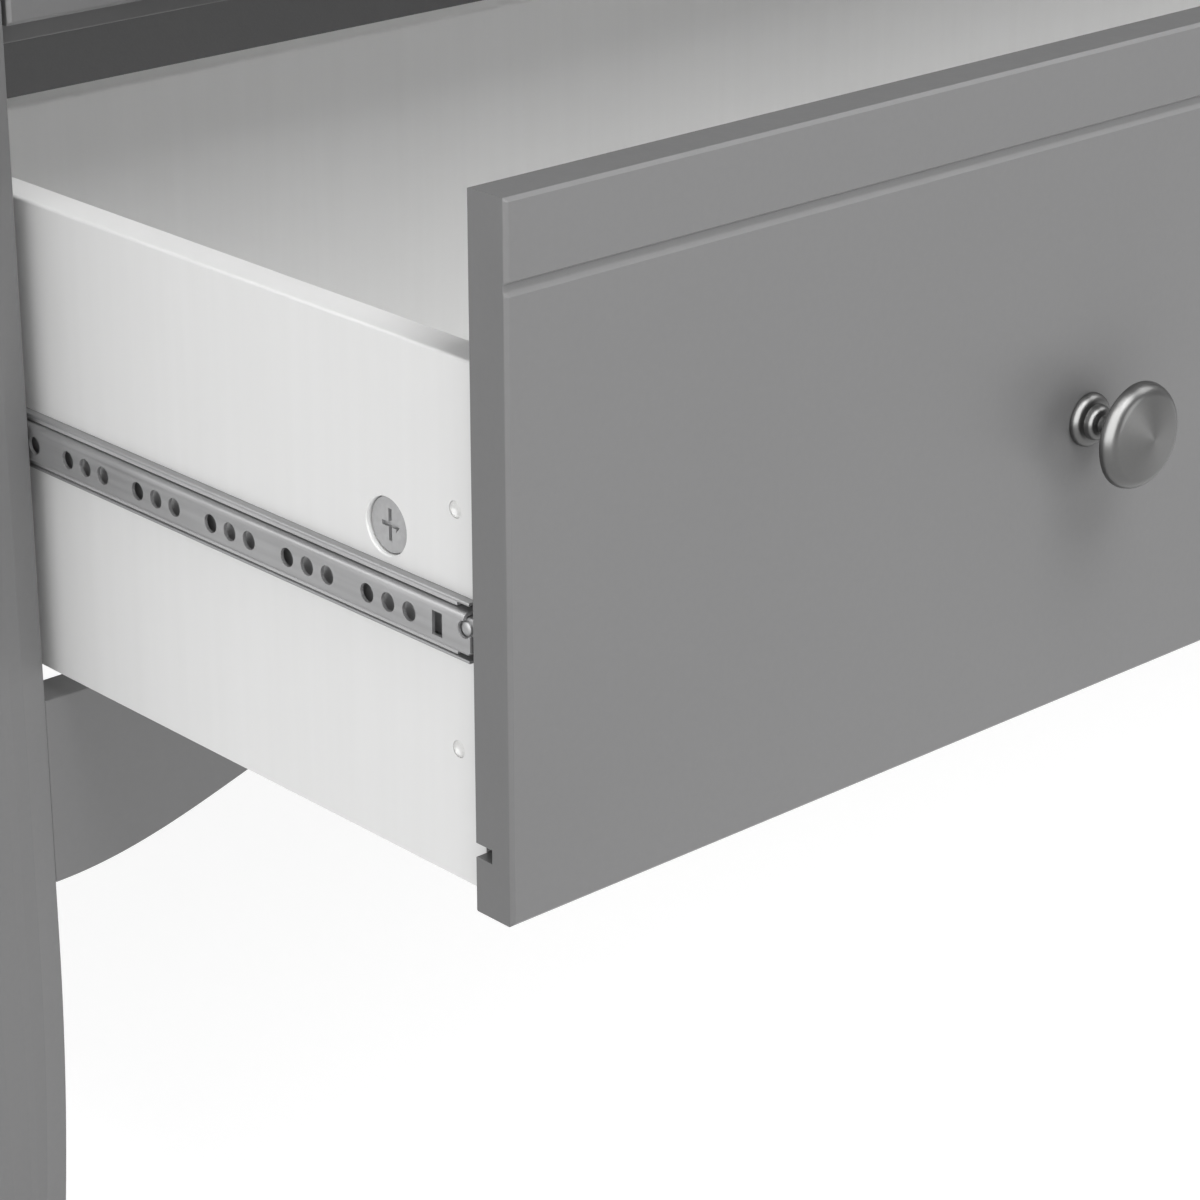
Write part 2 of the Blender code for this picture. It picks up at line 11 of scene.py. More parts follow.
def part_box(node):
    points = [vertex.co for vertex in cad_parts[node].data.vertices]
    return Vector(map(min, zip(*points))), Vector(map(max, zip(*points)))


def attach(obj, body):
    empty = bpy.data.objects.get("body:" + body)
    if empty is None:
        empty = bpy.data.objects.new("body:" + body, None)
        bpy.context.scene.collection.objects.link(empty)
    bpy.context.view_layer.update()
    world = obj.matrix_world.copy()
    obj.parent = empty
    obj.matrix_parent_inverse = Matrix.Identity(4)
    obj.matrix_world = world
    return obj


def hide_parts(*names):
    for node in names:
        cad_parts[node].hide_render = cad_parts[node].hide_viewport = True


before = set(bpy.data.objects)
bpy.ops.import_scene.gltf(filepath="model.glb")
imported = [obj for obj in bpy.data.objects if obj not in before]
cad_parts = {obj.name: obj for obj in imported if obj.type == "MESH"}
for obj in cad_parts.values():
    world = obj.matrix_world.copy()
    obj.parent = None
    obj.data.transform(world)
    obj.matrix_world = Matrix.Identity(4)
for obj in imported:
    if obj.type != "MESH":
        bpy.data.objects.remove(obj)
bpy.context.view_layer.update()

LEVELS = ("lower", "middle", "upper")
SIDES = {"left": -1, "right": 1}

# The part's own dimensions. Drawer pieces: y from the front's outer face, z from the front's underside.
FRONT_HALF_WIDTH = 0.400
FRONT_HEIGHT = 0.211
FRONT_THICKNESS = 0.015
FRONT_CHAMFER = 0.0011
BEAD_BELOW_TOP = 0.0247
BASE_GROOVE = (0.0170, 0.0213)
BASE_GROOVE_DEPTH = 0.0068
BOX_HALF_WIDTH = 0.396
BOX_BOTTOM = 0.0041
BOX_TOP = 0.1611
BOX_WALL = 0.012
BOX_BACK = 0.333
CAM_CENTRE = (0.0567, 0.1033)
CAM_HOLE_RADIUS = 0.0087
CAM_RADIUS = 0.0083
CAP_CENTRES = ((0.0266, 0.1168), (0.0266, 0.0449))
CAP_RADIUS = 0.0026
KNOB_X = 0.162
KNOB_HEIGHT = 0.0936
RUNNER_HEIGHT = 0.0831
RUNNER_LENGTH = 0.300
CHANNEL_START = 0.0185
SLIDER_START = 0.0181
SLIDER_LENGTH = 0.298
SLIDER_FACE = 0.0043
SLIDER_HALF_HEIGHT = 0.0063
CHANNEL_HALF_HEIGHT = 0.0091
CHANNEL_PROUD = 0.0026
SHEET_STEEL = 0.0011
HOLE_RADIUS = 0.0029
FIRST_HOLE = 0.0241
HOLE_PITCH = 0.00925
GROUP_PITCH = 0.0365
STOP_CENTRE = (0.0186, 0.0018)
RUNNER_SPACE = 0.0105
INNER_HALF_WIDTH = 0.402
LEG_WIDTH = 0.045
LEG_TOP = 0.8469
FOOT_TAPER_HEIGHT = 0.110
FOOT_TAPER = 0.005
APRON_CURVE_LENGTH = 0.155
APRON_END_HEIGHT = 0.065
APRON_RISE = 0.030
QUILT_PITCH = 0.095
PIPING_RADIUS = 0.0019
CLOTH_FRAMES = 20


def origin_of(level):
    """Where the drawer's own coordinates start: its front's outer face and underside."""
    low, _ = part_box(f"{level}_drawer_front")
    return Vector((0, low[1], low[2]))


# ---- Materials ----


class Look:
    """A Principled material and short ways to build its nodes. Textures use object coordinates, in metres."""

    def __init__(self, name, colour, roughness, metallic=0.0, specular=0.5):
        self.material = bpy.data.materials.new(name)
        self.material.use_nodes = True
        self.tree = self.material.node_tree
        self.shader = self.tree.nodes["Principled BSDF"]
        self.shader.inputs["Base Color"].default_value = (*colour, 1)
        self.shader.inputs["Roughness"].default_value = roughness
        self.shader.inputs["Metallic"].default_value = metallic
        self.shader.inputs["Specular IOR Level"].default_value = specular
        self.material.diffuse_color = (*colour, 1)
        self.place = self.node("ShaderNodeTexCoord").outputs["Object"]

    def node(self, kind, **settings):
        made = self.tree.nodes.new(kind)
        for key, value in settings.items():
            setattr(made, key, value)
        return made

    def link(self, source, target):
        self.tree.links.new(source, target)

    def noise(self, scale, detail=3.0, stretch=(1, 1, 1)):
        mapping = self.node("ShaderNodeMapping")
        mapping.inputs["Scale"].default_value = [s * scale for s in stretch]
        self.link(self.place, mapping.inputs["Vector"])
        texture = self.node("ShaderNodeTexNoise")
        texture.inputs["Scale"].default_value = 1.0
        texture.inputs["Detail"].default_value = detail
        self.link(mapping.outputs["Vector"], texture.inputs["Vector"])
        return texture.outputs["Fac"]

    def ramp(self, source, low, high, from_low=0.3, from_high=0.7):
        spread = self.node("ShaderNodeMapRange")
        values = {"From Min": from_low, "From Max": from_high, "To Min": low, "To Max": high}
        for key, value in values.items():
            spread.inputs[key].default_value = value
        self.link(source, spread.inputs["Value"])
        return spread.outputs["Result"]

    def tint(self, source, dark, light, from_low=0.3, from_high=0.7):
        """A colour between two, chosen by the source."""
        mix = self.node("ShaderNodeMix", data_type="RGBA")
        mix.inputs["A"].default_value = (*dark, 1)
        mix.inputs["B"].default_value = (*light, 1)
        self.link(self.ramp(source, 0, 1, from_low, from_high), mix.inputs["Factor"])
        return mix.outputs["Result"]

    def times(self, first, second):
        mix = self.node("ShaderNodeMix", data_type="RGBA", blend_type="MULTIPLY")
        mix.inputs["Factor"].default_value = 1.0
        self.link(first, mix.inputs["A"])
        self.link(second, mix.inputs["B"])
        return mix.outputs["Result"]

    def sum(self, *sources):
        total = sources[0]
        for source in sources[1:]:
            add = self.node("ShaderNodeMath", operation="ADD")
            self.link(total, add.inputs[0])
            self.link(source, add.inputs[1])
            total = add.outputs["Value"]
        return total

    def paint(self, colour=None, roughness=None):
        if colour is not None:
            self.link(colour, self.shader.inputs["Base Color"])
        if roughness is not None:
            self.link(roughness, self.shader.inputs["Roughness"])

    def bump(self, height, depth):
        bump = self.node("ShaderNodeBump")
        bump.inputs["Strength"].default_value = 1.0
        bump.inputs["Distance"].default_value = depth
        self.link(height, bump.inputs["Height"])
        self.link(bump.outputs["Normal"], self.shader.inputs["Normal"])


def painted_board():
    look = Look("painted_grey", (0.152, 0.152, 0.153), 0.42, specular=0.32)
    broad = look.tint(look.noise(5, 2), (0.148, 0.148, 0.149), (0.156, 0.156, 0.157))
    speckle = look.tint(look.noise(420, 2), (0.975, 0.975, 0.975), (1, 1, 1))
    look.paint(look.times(broad, speckle), look.ramp(look.noise(60, 4), 0.36, 0.44))
    look.bump(look.sum(look.noise(650, 2), look.noise(90, 2)), 0.00002)
    return look.material


def laminate():
    """White melamine with a faint pressed grain along Z."""
    look = Look("white_laminate", (0.80, 0.80, 0.795), 0.38, specular=0.36)
    grain = look.noise(1, 4, stretch=(200, 200, 7))
    colour = look.tint(grain, (0.79, 0.79, 0.785), (0.805, 0.805, 0.801))
    cloud = look.tint(look.noise(12, 3), (0.985, 0.985, 0.985), (1, 1, 1))
    look.paint(look.times(colour, cloud), look.ramp(grain, 0.35, 0.43))
    look.bump(grain, 0.00001)
    return look.material


def satin_metal(name, colour, roughness, metallic, stretch, depth):
    """Plated metal with fine lines along the axis in which the noise is stretched least."""
    look = Look(name, colour, roughness, metallic)
    lines = look.noise(1, 3, stretch=stretch)
    dark = tuple(c * 0.93 for c in colour)
    light = tuple(c * 1.05 for c in colour)
    stain = look.tint(look.noise(70, 4), (0.94, 0.94, 0.94), (1, 1, 1))
    look.paint(look.times(look.tint(lines, dark, light), stain), look.ramp(lines, roughness - 0.04, roughness + 0.06))
    look.bump(lines, depth)
    return look.material


def brushed_nickel():
    look = Look("satin_nickel", (0.112, 0.112, 0.111), 0.3, metallic=0.9)
    look.shader.inputs["Anisotropic"].default_value = 0.2
    look.link(look.node("ShaderNodeTangent", direction_type="RADIAL", axis="Y").outputs["Tangent"],
              look.shader.inputs["Tangent"])
    grain = look.noise(900, 2)
    look.paint(look.tint(grain, (0.110, 0.110, 0.109), (0.114, 0.114, 0.113)), look.ramp(grain, 0.295, 0.305))
    look.bump(grain, 0.0000005)
    return look.material


def moulded_cap():
    look = Look("white_cap", (0.72, 0.72, 0.71), 0.3)
    grain = look.noise(1500, 2)
    look.paint(look.tint(grain, (0.70, 0.70, 0.69), (0.74, 0.74, 0.73)), look.ramp(grain, 0.26, 0.36))
    look.bump(grain, 0.00001)
    return look.material


def hardboard():
    # Fibre texture over a base set darker than the frame's grey paint, so the shaded cavity behind the drawers reads
    # dark: painted shade.
    look = Look("shade_darkened_hardboard", (0.10, 0.10, 0.101), 0.6)
    fibre = look.sum(look.noise(900, 4), look.noise(160, 4))
    look.paint(look.tint(fibre, (0.092, 0.092, 0.093), (0.108, 0.108, 0.109), 0.7, 1.3),
               look.ramp(fibre, 0.5, 0.7, 0.7, 1.3))
    look.bump(fibre, 0.00008)
    return look.material


def woven_cover():
    """A plain weave: two crossed sets of threads under a soft nap."""
    look = Look("pad_cover", (0.74, 0.735, 0.72), 0.85, specular=0.25)
    look.shader.inputs["Sheen Weight"].default_value = 0.35
    look.shader.inputs["Sheen Roughness"].default_value = 0.5
    threads = []
    for direction in ("X", "Y"):
        wave = look.node("ShaderNodeTexWave", bands_direction=direction)
        wave.inputs["Scale"].default_value = 160.0
        wave.inputs["Distortion"].default_value = 1.2
        wave.inputs["Detail"].default_value = 1.0
        look.link(look.place, wave.inputs["Vector"])
        threads.append(wave.outputs["Fac"])
    fuzz = look.noise(1300, 3)
    weave = look.sum(*threads, fuzz)
    colour = look.tint(weave, (0.66, 0.655, 0.64), (0.78, 0.775, 0.76), 0.6, 2.2)
    cloud = look.tint(look.noise(16, 3), (0.96, 0.96, 0.955), (1, 1, 1))
    look.paint(look.times(colour, cloud), look.ramp(fuzz, 0.78, 0.92))
    look.bump(weave, 0.00022)
    return look.material


PAINT = painted_board()
LAMINATE = laminate()
NICKEL = brushed_nickel()
ZINC = satin_metal("zinc_steel", (0.30, 0.30, 0.303), 0.36, 0.35, (500, 12, 500), 0.000012)
CHANNEL_ZINC = satin_metal("channel_zinc", (0.28, 0.28, 0.283), 0.42, 0.3, (500, 12, 500), 0.000012)
CAST = satin_metal("cast_zinc", (0.315, 0.315, 0.318), 0.45, 0.4, (700, 700, 700), 0.00002)
# The ball cage's steel is lighter than the zinc steel it stands for: painted light in the gaps and holes it fills.
LIGHTENED_CAGE_STEEL = satin_metal("lightened_cage_steel", (0.40, 0.40, 0.404), 0.5, 0.3, (500, 12, 500), 0.000012)
CAP = moulded_cap()
SHADE_DARKENED_HARDBOARD = hardboard()
FABRIC = woven_cover()


# ---- Mesh making ----


def fillet(corners, steps=5):
    """The points of an outline whose corners (a, b, radius) are rounded."""
    points = []
    for i, (a, b, radius) in enumerate(corners):
        here = Vector((a, b))
        if radius == 0:
            points.append(here)
            continue
        before = Vector(corners[i - 1][:2]) - here
        after = Vector(corners[(i + 1) % len(corners)][:2]) - here
        half = before.angle(after) / 2
        # A sharp neighbour leaves the whole edge between them to this corner.
        room_before = (0.49 if corners[i - 1][2] else 0.97) * before.length
        room_after = (0.49 if corners[(i + 1) % len(corners)][2] else 0.97) * after.length
        reach = min(radius / math.tan(half), room_before, room_after)
        bisector = (before.normalized() + after.normalized()).normalized()
        centre = here + bisector * (reach / math.cos(half))
        first = here + before.normalized() * reach - centre
        last = here + after.normalized() * reach - centre
        sweep = first.angle(last)
        for step in range(steps + 1):
            t = step / steps
            spoke = (first * math.sin((1 - t) * sweep) + last * math.sin(t * sweep)) / math.sin(sweep)
            points.append(centre + spoke)
    return points


def loft(rings, capped=True):
    bm = bmesh.new()
    loops = [[bm.verts.new(point) for point in ring] for ring in rings]
    for low, high in zip(loops, loops[1:]):
        for i, corner in enumerate(low):
            j = (i + 1) % len(low)
            bm.faces.new((corner, low[j], high[j], high[i]))
    if capped:
        bm.faces.new(loops[0])
        bm.faces.new(reversed(loops[-1]))
    bmesh.ops.recalc_face_normals(bm, faces=bm.faces)
    return bm


def along_x(outline, start, end, origin=Vector()):
    """A prism from an outline in Y and Z."""
    return loft([[origin + Vector((x, y, z)) for y, z in outline] for x in (start, end)])


def along_y(outline, start, end, origin=Vector()):
    """A prism from an outline in X and Z."""
    return loft([[origin + Vector((x, y, z)) for x, z in outline] for y in (start, end)])


def box(low, high):
    return along_x([(low[1], low[2]), (high[1], low[2]), (high[1], high[2]), (low[1], high[2])], low[0], high[0])


def turn_angles(count):
    return [2 * math.pi * i / count for i in range(count)]


def rod_along_x(centre, radius, sides, start, end):
    outline = [(centre[1] + radius * math.cos(t), centre[2] + radius * math.sin(t)) for t in turn_angles(sides)]
    return along_x(outline, *sorted((start, end)))


def turned_about_x(profile, sides, centre, sign):
    """A turned piece from (radius, distance) pairs. The distance runs from the centre towards the sign's side."""
    return loft([[centre + Vector((sign * d, r * math.cos(t), r * math.sin(t))) for t in turn_angles(sides)]
                 for r, d in profile])


def turned_about_y(profile, sides, centre, sign):
    return loft([[centre + Vector((r * math.cos(t), sign * d, r * math.sin(t))) for t in turn_angles(sides)]
                 for r, d in profile])


def merged(*parts):
    whole = bmesh.new()
    for part in parts:
        mesh = bpy.data.meshes.new("part")
        part.to_mesh(mesh)
        part.free()
        whole.from_mesh(mesh)
        bpy.data.meshes.remove(mesh)
    return whole


def new_object(name, bm, material):
    mesh = bpy.data.meshes.new(name)
    bm.to_mesh(mesh)
    bm.free()
    mesh.materials.append(material)
    obj = bpy.data.objects.new(name, mesh)
    bpy.context.scene.collection.objects.link(obj)
    return obj


def bake_modifiers(obj):
    graph = bpy.context.evaluated_depsgraph_get()
    mesh = bpy.data.meshes.new_from_object(obj.evaluated_get(graph))
    obj.modifiers.clear()
    obj.data = mesh


def carve(obj, cutter_bm):
    """Cuts the cutter away from the object."""
    cutter = new_object("cutter", cutter_bm, PAINT)
    cut = obj.modifiers.new("Cut", "BOOLEAN")
    cut.operation = "DIFFERENCE"
    cut.solver = "EXACT"
    cut.object = cutter
    bake_modifiers(obj)
    bpy.data.objects.remove(cutter, do_unlink=True)


def bevel(obj, width, segments=3, angle=32):
    modifier = obj.modifiers.new("Bevel", "BEVEL")
    modifier.width = width
    modifier.segments = segments
    modifier.limit_method = "ANGLE"
    modifier.angle_limit = math.radians(angle)
    bake_modifiers(obj)


def shade(obj, angle=35):
    """Smooth shading that keeps flat faces flat beside their rounded edges."""
    obj.data.shade_smooth()
    obj.data.set_sharp_from_angle(angle=math.radians(angle))
    weighted = obj.modifiers.new("Normals", "WEIGHTED_NORMAL")
    weighted.keep_sharp = True
    weighted.weight = 80


def place(obj, body, slot, *nodes):
    """The object rides on the body and stands for the CAD nodes, which it hides. The slot is not used."""
    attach(obj, body)
    if nodes:
        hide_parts(*nodes)


def board(name, node, body, material, slot, edge):
    """A panel or rail with softened edges in the place of a CAD node."""
    low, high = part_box(node)
    obj = new_object(name, box(low, high), material)
    bevel(obj, edge)
    shade(obj)
    place(obj, body, slot, node)


# ---- Drawers ----


def front_outline():
    """The front's section in Y and Z: chamfered edges, a bead groove in the face and a groove for the base."""
    bead = FRONT_HEIGHT - BEAD_BELOW_TOP
    chamfer = FRONT_CHAMFER
    groove_y = FRONT_THICKNESS - BASE_GROOVE_DEPTH
    soft = 0.0002
    corners = [
        (chamfer, 0, soft),
        (0, chamfer, soft),
        (0, bead - 0.0022, 0.0004),
        (0.0013, bead - 0.0009, 0.0010),
        (0.0013, bead + 0.0011, 0.0006),
        (0, bead + 0.0019, 0.0002),
        (0, FRONT_HEIGHT - chamfer, soft),
        (chamfer, FRONT_HEIGHT, soft),
        (FRONT_THICKNESS, FRONT_HEIGHT, 0.0005),
        (FRONT_THICKNESS, BASE_GROOVE[1], 0.0002),
        (groove_y, BASE_GROOVE[1], 0),
        (groove_y, BASE_GROOVE[0], 0),
        (FRONT_THICKNESS, BASE_GROOVE[0], 0.0002),
        (FRONT_THICKNESS, 0, 0.0005),
    ]
    return fillet(corners, 4)


def make_front(level):
    """The front is drawn in at its two ends by a small chamfer on the face side."""
    origin = origin_of(level)
    outline = front_outline()
    end_chamfer = FRONT_CHAMFER

    def ring(x, inset):
        points = []
        for y, z in outline:
            # Only what lies in the face is set back, so the back edge stays sharp.
            set_back = max(0.0, inset - y)
            points.append(origin + Vector((x, y + set_back, z)))
        return points

    half = FRONT_HALF_WIDTH
    soft = 0.0002
    steps = [(0, end_chamfer + soft), (soft, end_chamfer - soft), (end_chamfer + soft, 0)]
    rings = [ring(-half + step, inset) for step, inset in steps]
    rings += [ring(half - step, inset) for step, inset in reversed(steps)]
    bm = loft(rings)
    # The mitres fold along the long diagonals of the faces between the end rings.
    ends = [f for f in bm.faces if len(f.verts) == 4 and max(abs(v.co.x) for v in f.verts) > half - end_chamfer]
    bmesh.ops.triangulate(bm, faces=ends, quad_method="LONG_EDGE")
    obj = new_object(f"{level}_front_board", bm, PAINT)
    shade(obj, 30)
    place(obj, f"{level}_drawer", "painted_grey", f"{level}_drawer_front")


def make_side(level, side):
    sign = SIDES[side]
    origin = origin_of(level)
    outer, inner = BOX_HALF_WIDTH, BOX_HALF_WIDTH - BOX_WALL
    groove_half = CHANNEL_HALF_HEIGHT + 0.00002
    groove_low, groove_high = RUNNER_HEIGHT - groove_half, RUNNER_HEIGHT + groove_half
    groove_floor = outer - 0.0043
    corners = [
        (outer, BOX_BOTTOM, 0.0008),
        (outer, groove_low, 0.0002),
        (groove_floor, groove_low, 0),
        (groove_floor, groove_high, 0),
        (outer, groove_high, 0.0002),
        (outer, BOX_TOP, 0.0011),
        (inner, BOX_TOP, 0.0011),
        (inner, BASE_GROOVE[1], 0.0002),
        (inner + 0.006, BASE_GROOVE[1], 0),
        (inner + 0.006, BASE_GROOVE[0], 0),
        (inner, BASE_GROOVE[0], 0.0002),
        (inner, BOX_BOTTOM, 0.0008),
    ]
    outline = [(sign * x, z) for x, z in fillet(corners, 4)]
    bm = along_y(outline, FRONT_THICKNESS + 0.0003, BOX_BACK, origin)
    obj = new_object(f"{level}_{side}_side_board", bm, LAMINATE)
    holes = [rod_along_x(origin + Vector((0, *CAM_CENTRE)), CAM_HOLE_RADIUS, 48,
                         sign * (outer - 0.0095), sign * (outer + 0.002))]
    for centre in CAP_CENTRES:
        holes.append(rod_along_x(origin + Vector((0, *centre)), CAP_RADIUS, 32,
                                 sign * (outer - 0.005), sign * (outer + 0.002)))
    carve(obj, merged(*holes))
    rim = [(CAM_HOLE_RADIUS - 0.0001, outer - 0.0005), (CAM_HOLE_RADIUS + 0.0006, outer + 0.0002)]
    carve(obj, turned_about_x(rim, 48, origin + Vector((0, *CAM_CENTRE)), sign))
    shade(obj, 30)
    place(obj, f"{level}_drawer", "white_laminate", f"{level}_drawer_{side}_side")


def make_back(level):
    origin = origin_of(level)
    half = BOX_HALF_WIDTH - BOX_WALL - 0.0003
    front, back = BOX_BACK - BOX_WALL, BOX_BACK
    corners = [
        (back, BOX_BOTTOM, 0.0008),
        (back, BOX_TOP, 0.0011),
        (front, BOX_TOP, 0.0011),
        (front, BASE_GROOVE[1], 0.0002),
        (front + 0.006, BASE_GROOVE[1], 0),
        (front + 0.006, BASE_GROOVE[0], 0),
        (front, BASE_GROOVE[0], 0.0002),
        (front, BOX_BOTTOM, 0.0008),
    ]
    obj = new_object(f"{level}_back_board", along_x(fillet(corners, 4), -half, half, origin), LAMINATE)
    shade(obj, 30)
    place(obj, f"{level}_drawer", "white_laminate", f"{level}_drawer_back")


def knob_profile():
    """A stepped rosette with a rolled edge, a waisted neck and a head with a rolled rim and a shallow cone."""
    outline = [
        (0.0087, 0.0003, 0),
        (0.0087, 0.0034, 0.0028),
        (0.0058, 0.0034, 0),
        (0.0054, 0.0062, 0.0022),
        (0.0031, 0.0067, 0),
        (0.0030, 0.0100, 0.0030),
        (0.0033, 0.0145, 0.0030),
        (0.0065, 0.0172, 0.0050),
        (0.0140, 0.0182, 0.0020),
        (0.0166, 0.0187, 0),
        (0.0170, 0.0191, 0),
        (0.0170, 0.0232, 0.0047),
        (0.0004, 0.0268, 0),
    ]
    return fillet([*outline, (0, 0.0268, 0), (0, 0.0003, 0)], 9)[:-2]


def make_knob(level, side):
    centre = origin_of(level) + Vector((SIDES[side] * KNOB_X, 0, KNOB_HEIGHT))
    local = turned_about_y(knob_profile(), 72, Vector(), -1)
    obj = new_object(f"{level}_{side}_turned_knob", local, NICKEL)
    obj.location = centre
    shade(obj, 28)
    place(obj, f"{level}_drawer", "satin_nickel", f"{level}_{side}_knob")


def make_cam_lock(level, side):
    """A die-cast disc with a cross slot and an arrow notch, in its blind hole."""
    sign = SIDES[side]
    origin = origin_of(level)
    centre = origin + Vector((0, *CAM_CENTRE))
    inner, outer = BOX_HALF_WIDTH - 0.0092, BOX_HALF_WIDTH - 0.0015
    disc = new_object(f"{level}_{side}_cam_disc",
                      rod_along_x(centre, CAM_RADIUS, 56, sign * inner, sign * outer), CAST)
    arms = []
    ends = sorted((sign * (outer - 0.0013), sign * (outer + 0.001)))
    for half_y, half_z in ((0.0036, 0.0007), (0.0007, 0.0048)):
        arms.append(box((ends[0], centre.y - half_y, centre.z - half_z),
                        (ends[1], centre.y + half_y, centre.z + half_z)))
    tip = [(centre.y + y, centre.z + z) for y, z in ((-0.0040, 0), (-0.0026, -0.0017), (-0.0026, 0.0006))]
    arms.append(along_x(tip, *ends))
    for arm in arms:
        carve(disc, arm)
    bevel(disc, 0.0002, 2)
    shade(disc, 30)
    nodes = [f"{level}_{side}_cam_lock"] if level == "lower" else []
    place(disc, f"{level}_drawer", "cast_zinc", *nodes)


def make_cap(level, side, index):
    """A small dished cap pressed into a screw hole."""
    sign = SIDES[side]
    centre = origin_of(level) + Vector((sign * BOX_HALF_WIDTH, *CAP_CENTRES[index]))
    edge = CAP_RADIUS - 0.0001
    profile = [(edge, -0.0045), (edge, -0.0003), (edge - 0.0002, -0.0002), (0.0020, -0.0007), (0.0014, -0.0010),
               (0.0007, -0.0012), (0.0002, -0.0012)]
    obj = new_object(f"{level}_{side}_cap_{index + 1}", turned_about_x(profile, 32, centre, sign), CAP)
    shade(obj, 50)
    place(obj, f"{level}_drawer", "white_laminate")


# ---- Runners ----


def runner_outline(side, corners, origin_z=0.0, steps=4):
    """World X and drawer Z of an outline in u, out from the drawer side, and v, up from the runner's centre line."""
    sign = SIDES[side]
    return [(sign * (BOX_HALF_WIDTH + u), RUNNER_HEIGHT + origin_z + v) for u, v in fillet(corners, steps)]


def mirrored(half):
    return half + [(u, -v, r) for u, v, r in reversed(half)]


def make_drawer_channel(level, side):
    """A roll-formed channel: rounded shoulders, lips that hook over the ball race and a front end with a stop."""
    back = -0.0040
    lip = CHANNEL_HALF_HEIGHT - 0.0010
    half = [
        (back, CHANNEL_HALF_HEIGHT, 0.0010),
        (CHANNEL_PROUD, CHANNEL_HALF_HEIGHT, 0.0005),
        (CHANNEL_PROUD, lip, 0.0003),
        (CHANNEL_PROUD - 0.0010, lip, 0.0003),
        (CHANNEL_PROUD - 0.0014, lip + 0.0002, 0.0005),
        (back + SHEET_STEEL, lip + 0.0002, 0.0008),
    ]
    origin = origin_of(level)
    outline = runner_outline(side, mirrored(half))
    bm = along_y(outline, CHANNEL_START, CHANNEL_START + RUNNER_LENGTH, origin)
    obj = new_object(f"{level}_{side}_outer_rail", bm, CHANNEL_ZINC)
    bevel(obj, 0.00012, 2, 50)
    shade(obj, 30)
    place(obj, f"{level}_drawer", "zinc_steel", f"{level}_{side}_drawer_channel")
    sign = SIDES[side]
    stop_profile = [(0.0022, 0.0000), (0.0022, 0.0028), (0.0020, 0.0034), (0.0015, 0.0037), (0.0006, 0.0038)]
    centre = origin + Vector((sign * BOX_HALF_WIDTH, STOP_CENTRE[0], RUNNER_HEIGHT + STOP_CENTRE[1]))
    stop = new_object(f"{level}_{side}_rail_stop", turned_about_x(stop_profile, 32, centre, sign), CHANNEL_ZINC)
    shade(stop, 40)
    place(stop, f"{level}_drawer", "zinc_steel")
    ends = sorted((sign * (BOX_HALF_WIDTH - 0.0035), sign * (BOX_HALF_WIDTH + 0.0027)))
    tab = new_object(f"{level}_{side}_rail_tab",
                     box((ends[0], origin.y + CHANNEL_START - 0.0025, origin.z + RUNNER_HEIGHT - 0.0048),
                         (ends[1], origin.y + CHANNEL_START + 0.0050, origin.z + RUNNER_HEIGHT + 0.0048)), CHANNEL_ZINC)
    bevel(tab, 0.0006, 3)
    shade(tab, 30)
    place(tab, f"{level}_drawer", "zinc_steel")


def make_slider(level, side):
    """The perforated middle member: a web with rolled edges, holes in threes, a slot and a notched front end."""
    sign = SIDES[side]
    origin = origin_of(level)
    inner_height = SLIDER_HALF_HEIGHT - SHEET_STEEL
    half = [
        (SLIDER_FACE, SLIDER_HALF_HEIGHT, 0.0020),
        (-0.0016, SLIDER_HALF_HEIGHT, 0.0004),
        (-0.0016, inner_height, 0.0003),
        (SLIDER_FACE - SHEET_STEEL, inner_height, 0.0009),
    ]
    start, end = SLIDER_START, SLIDER_START + SLIDER_LENGTH
    bm = along_y(runner_outline(side, mirrored(half), steps=7), start - 0.0020, end, origin)
    obj = new_object(f"{level}_{side}_middle_rail", bm, ZINC)
    mouth = BOX_HALF_WIDTH + SLIDER_FACE - 0.0025
    # Cutters of the end run from behind the slider to in front of it, those of the holes only through its web.
    behind, beyond = BOX_HALF_WIDTH - 0.004, BOX_HALF_WIDTH + 0.007

    def cutter_box(y0, y1, v0, v1):
        ends = sorted((sign * behind, sign * beyond))
        z = origin.z + RUNNER_HEIGHT
        return box((ends[0], origin.y + y0, z + v0), (ends[1], origin.y + y1, z + v1))

    def cutter_rod(y, v, radius, sides=28):
        centre = origin + Vector((0, y, RUNNER_HEIGHT + v))
        return rod_along_x(centre, radius, sides, sign * mouth, sign * beyond)

    holes = [cutter_rod(start + FIRST_HOLE + group * GROUP_PITCH + hole * HOLE_PITCH, 0, HOLE_RADIUS)
             for group in range(6) for hole in range(3)]
    ends = sorted((sign * mouth, sign * beyond))
    z = origin.z + RUNNER_HEIGHT
    slot_y = origin.y + start + 0.0098
    holes.append(box((ends[0], slot_y, z - 0.0036), (ends[1], slot_y + 0.0043, z + 0.0036)))
    carve(obj, merged(*holes))
    carve(obj, cutter_box(start - 0.0100, start + 0.0008, 0.0002, 0.0080))
    carve(obj, rod_along_x(origin + Vector((0, STOP_CENTRE[0], RUNNER_HEIGHT + STOP_CENTRE[1])), 0.0026, 32,
                           sign * behind, sign * beyond))
    wedge = [(origin.y + start - 0.0041, z - 0.0064), (origin.y + start + 0.0004, z - 0.0064),
             (origin.y + start - 0.0041, z - 0.0030)]
    carve(obj, along_x(wedge, sign * behind, sign * beyond))
    bevel(obj, 0.00016, 2, 40)
    shade(obj, 30)
    place(obj, f"{level}_sliders", "zinc_steel", f"{level}_{side}_slider")
    make_carriage(level, side, end)


